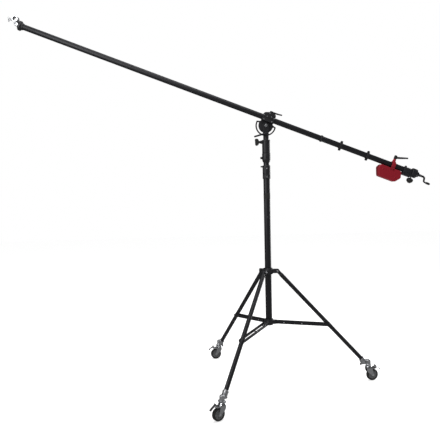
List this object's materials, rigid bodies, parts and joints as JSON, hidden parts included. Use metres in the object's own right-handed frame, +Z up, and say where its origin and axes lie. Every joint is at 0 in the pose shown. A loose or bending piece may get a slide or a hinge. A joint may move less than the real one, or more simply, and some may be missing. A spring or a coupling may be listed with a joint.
{
  "type": "wheeled boom stand",
  "caption": "Rolling three-legged studio boom stand: braced base on braked casters, telescopic column, tilting slotted head, counterweighted boom with crank and lamp socket.",
  "frame": {"origin": "on the floor, in the middle of the bounding box at rest; the column axis stands at x = 0.2722, y = 0.0014", "axes": "+Z up; +X along the boom towards its counterweight end, -X towards the lamp end; the boom lies in a plane of constant y"},
  "size_m": [2.7916, 1.2554, 2.4848],
  "materials": {
    "black_paint": "gloss black enamel on tube",
    "black_casting": "satin black painted casting",
    "black_plastic": "fine textured moulded plastic",
    "cast_silver": "tumbled die-cast silver",
    "bright_steel": "bright zinc-plated pressed steel",
    "red_paint": "satin red paint on cast iron",
    "tyre_rubber": "black rubber tread",
    "hub_grey": "grey moulded wheel centre"
  },
  "bodies": {
    "base": {"column_tube": "black_paint", "brace_hub": "black_casting", "lower_lock_collar": "black_casting"},
    "leg_collar": {"leg_collar": "black_casting"},
    "collar_knob": {"collar_knob": "black_plastic"},
    "leg_a": {"leg_tube_a": "black_paint", "caster_socket_a": "cast_silver"},
    "brace_a": {"brace_a": "black_paint"},
    "caster_a": {"caster_fork_a": "bright_steel"},
    "wheel_a": {"wheel_tyre_a": "tyre_rubber", "wheel_hub_a": "hub_grey"},
    "pedal_a": {"brake_pedal_a": "bright_steel"},
    "leg_b": {"leg_tube_b": "black_paint", "caster_socket_b": "cast_silver"},
    "brace_b": {"brace_b": "black_paint"},
    "caster_b": {"caster_fork_b": "bright_steel"},
    "wheel_b": {"wheel_tyre_b": "tyre_rubber", "wheel_hub_b": "hub_grey"},
    "pedal_b": {"brake_pedal_b": "bright_steel"},
    "leg_c": {"leg_tube_c": "black_paint", "caster_socket_c": "cast_silver"},
    "brace_c": {"brace_c": "black_paint"},
    "caster_c": {"caster_fork_c": "bright_steel"},
    "wheel_c": {"wheel_tyre_c": "tyre_rubber", "wheel_hub_c": "hub_grey"},
    "pedal_c": {"brake_pedal_c": "bright_steel"},
    "lower_lock_knob": {"lower_lock_knob": "black_plastic"},
    "riser_lower": {"riser_lower": "black_paint", "middle_lock_collar": "black_casting"},
    "middle_lock_knob": {"middle_lock_knob": "black_plastic"},
    "riser_upper": {"riser_upper": "black_paint", "top_receiver": "black_casting"},
    "receiver_knob": {"receiver_knob": "black_plastic"},
    "head": {"head_yoke": "black_casting", "tilt_bolt": "cast_silver"},
    "tilt_lock_lever": {"tilt_lock_lever": "black_paint"},
    "boom_cradle": {"tilt_quadrant": "black_casting", "boom_clamp": "black_casting", "clamp_cap": "black_casting"},
    "boom_clamp_lever": {"boom_clamp_lever": "black_paint"},
    "boom": {"boom_tube": "black_paint", "boom_ring_1": "black_casting", "boom_ring_2": "black_casting", "boom_ring_3": "black_casting", "tip_flange": "black_casting", "rear_housing": "black_casting", "rear_collar": "black_casting"},
    "rear_knob": {"rear_knob": "black_plastic"},
    "crank_shaft": {"control_rod": "bright_steel", "crank": "black_paint", "tip_yoke": "cast_silver"},
    "crank_grip": {"crank_grip": "black_plastic"},
    "lamp_socket": {"lamp_socket": "cast_silver"},
    "lamp_socket_screw": {"lamp_socket_screw": "cast_silver"},
    "counterweight": {"counterweight": "red_paint", "weight_bracket": "red_paint"},
    "weight_lever": {"weight_lever": "black_paint"}
  },
  "joints": [
    {"name": "collar_slide", "type": "slide", "parent": "base", "child": "leg_collar", "axis": [0, 0, 1], "range_m": [0, 0.50699]},
    {"name": "collar_knob_turn", "type": "hinge", "parent": "leg_collar", "child": "collar_knob", "pos_m": [0.22023, 0.00138, 0.779], "axis": [-1, 0, 0], "range_deg": [0, 180]},
    {"name": "leg_a_fold", "type": "hinge", "parent": "leg_collar", "child": "leg_a", "pos_m": [0.23841, -0.05296, 0.773], "axis": [0.849, -0.5284, 0], "range_deg": [0, 34.6]},
    {"name": "brace_a_fold", "type": "hinge", "parent": "base", "child": "brace_a", "pos_m": [0.24475, -0.04277, 0.424], "axis": [-0.849, 0.5284, 0], "range_deg": [0, 81.3]},
    {"name": "caster_a_swivel", "type": "hinge", "parent": "leg_a", "child": "caster_a", "pos_m": [-0.08658, -0.57508, 0.104], "axis": [0, 0, 1], "continuous": true},
    {"name": "wheel_a_roll", "type": "hinge", "parent": "caster_a", "child": "wheel_a", "pos_m": [-0.10948, -0.58938, 0.04], "axis": [0.5299, -0.848, 0], "continuous": true},
    {"name": "pedal_a_press", "type": "hinge", "parent": "caster_a", "child": "pedal_a", "pos_m": [-0.13153, -0.60316, 0.091], "axis": [0.5299, -0.848, 0], "range_deg": [0, 12]},
    {"name": "leg_b_fold", "type": "hinge", "parent": "leg_collar", "child": "leg_b", "pos_m": [0.33619, -0.00075, 0.773], "axis": [0.0332, 0.9995, 0], "range_deg": [0, 34.6]},
    {"name": "brace_b_fold", "type": "hinge", "parent": "base", "child": "brace_b", "pos_m": [0.3242, -0.00035, 0.424], "axis": [-0.0332, -0.9995, 0], "range_deg": [0, 81.3]},
    {"name": "caster_b_swivel", "type": "hinge", "parent": "leg_b", "child": "caster_b", "pos_m": [0.95085, -0.02114, 0.104], "axis": [0, 0, 1], "continuous": true},
    {"name": "wheel_b_roll", "type": "hinge", "parent": "caster_b", "child": "wheel_b", "pos_m": [0.97759, -0.01738, 0.04], "axis": [-0.1392, 0.9903, 0], "continuous": true},
    {"name": "pedal_b_press", "type": "hinge", "parent": "caster_b", "child": "pedal_b", "pos_m": [1.00334, -0.01376, 0.091], "axis": [-0.1392, 0.9903, 0], "range_deg": [0, 12]},
    {"name": "leg_c_fold", "type": "hinge", "parent": "leg_collar", "child": "leg_c", "pos_m": [0.24208, 0.05783, 0.773], "axis": [-0.8821, -0.471, 0], "range_deg": [0, 34.6]},
    {"name": "brace_c_fold", "type": "hinge", "parent": "base", "child": "brace_c", "pos_m": [0.24773, 0.04725, 0.424], "axis": [0.8821, 0.471, 0], "range_deg": [0, 81.3]},
    {"name": "caster_c_swivel", "type": "hinge", "parent": "leg_c", "child": "caster_c", "pos_m": [-0.04759, 0.60034, 0.104], "axis": [0, 0, 1], "continuous": true},
    {"name": "wheel_c_roll", "type": "hinge", "parent": "caster_c", "child": "wheel_c", "pos_m": [-0.074, 0.59473, 0.04], "axis": [0.2079, -0.9781, 0], "continuous": true},
    {"name": "pedal_c_press", "type": "hinge", "parent": "caster_c", "child": "pedal_c", "pos_m": [-0.09943, 0.58932, 0.091], "axis": [0.2079, -0.9781, 0], "range_deg": [0, 12]},
    {"name": "lower_lock_turn", "type": "hinge", "parent": "base", "child": "lower_lock_knob", "pos_m": [0.23822, 0.00138, 1.48], "axis": [-1, 0, 0], "range_deg": [0, 180]},
    {"name": "riser_lower_slide", "type": "slide", "parent": "base", "child": "riser_lower", "axis": [0, 0, 1], "range_m": [0, 0.7]},
    {"name": "middle_lock_turn", "type": "hinge", "parent": "riser_lower", "child": "middle_lock_knob", "pos_m": [0.23622, 0.00138, 1.538], "axis": [-1, 0, 0], "range_deg": [0, 180]},
    {"name": "riser_upper_slide", "type": "slide", "parent": "riser_lower", "child": "riser_upper", "axis": [0, 0, 1], "range_m": [0, 0.7]},
    {"name": "receiver_knob_turn", "type": "hinge", "parent": "riser_upper", "child": "receiver_knob", "pos_m": [0.22223, 0.00138, 1.644], "axis": [-1, 0, 0], "range_deg": [0, 180]},
    {"name": "head_pan", "type": "hinge", "parent": "riser_upper", "child": "head", "pos_m": [0.27222, 0.00138, 1.664], "axis": [0, 0, 1], "continuous": true},
    {"name": "tilt_lock_turn", "type": "hinge", "parent": "head", "child": "tilt_lock_lever", "pos_m": [0.27222, -0.01862, 1.699], "axis": [0, 1, 0], "range_deg": [-40, 40]},
    {"name": "boom_tilt", "type": "hinge", "parent": "head", "child": "boom_cradle", "pos_m": [0.27222, 0.00138, 1.7535], "axis": [0, 1, 0], "range_deg": [-66, 44]},
    {"name": "boom_clamp_turn", "type": "hinge", "parent": "boom_cradle", "child": "boom_clamp_lever", "pos_m": [0.31282, 0.00138, 1.8418], "axis": [0.3608, 0, 0.9326], "range_deg": [-90, 90]},
    {"name": "boom_slide", "type": "slide", "parent": "boom_cradle", "child": "boom", "axis": [0.9326, 0, -0.3608], "range_m": [-0.33, 1]},
    {"name": "rear_knob_turn", "type": "hinge", "parent": "boom", "child": "rear_knob", "pos_m": [1.25393, 0.00138, 1.37263], "axis": [-0.3608, 0, -0.9326], "range_deg": [0, 180]},
    {"name": "crank_turn", "type": "hinge", "parent": "boom", "child": "crank_shaft", "pos_m": [1.31581, 0.00138, 1.40231], "axis": [0.9326, 0, -0.3608], "continuous": true},
    {"name": "crank_grip_spin", "type": "hinge", "parent": "crank_shaft", "child": "crank_grip", "pos_m": [1.37851, 0.00138, 1.34266], "axis": [0.9326, 0, -0.3608], "continuous": true},
    {"name": "lamp_tilt", "type": "hinge", "parent": "crank_shaft", "child": "lamp_socket", "pos_m": [-1.34781, 0.00138, 2.43278], "axis": [0, 1, 0], "range_deg": [-88, 15]},
    {"name": "lamp_screw_turn", "type": "hinge", "parent": "lamp_socket", "child": "lamp_socket_screw", "pos_m": [-1.38281, 0.00138, 2.46378], "axis": [-1, 0, 0], "range_deg": [0, 180]},
    {"name": "counterweight_slide", "type": "slide", "parent": "boom", "child": "counterweight", "axis": [0.9326, 0, -0.3608], "range_m": [-0.08, 0]},
    {"name": "weight_lever_turn", "type": "hinge", "parent": "counterweight", "child": "weight_lever", "pos_m": [1.15292, 0.00138, 1.51894], "axis": [0.3608, 0, 0.9326], "range_deg": [-90, 90]}
  ],
  "couplings": [
    {"joint": "leg_a_fold", "follows": "collar_slide", "rad_per_m": 1.1872},
    {"joint": "brace_a_fold", "follows": "collar_slide", "rad_per_m": 2.7933},
    {"joint": "leg_b_fold", "follows": "collar_slide", "rad_per_m": 1.1872},
    {"joint": "brace_b_fold", "follows": "collar_slide", "rad_per_m": 2.7933},
    {"joint": "leg_c_fold", "follows": "collar_slide", "rad_per_m": 1.1872},
    {"joint": "brace_c_fold", "follows": "collar_slide", "rad_per_m": 2.7933}
  ]
}
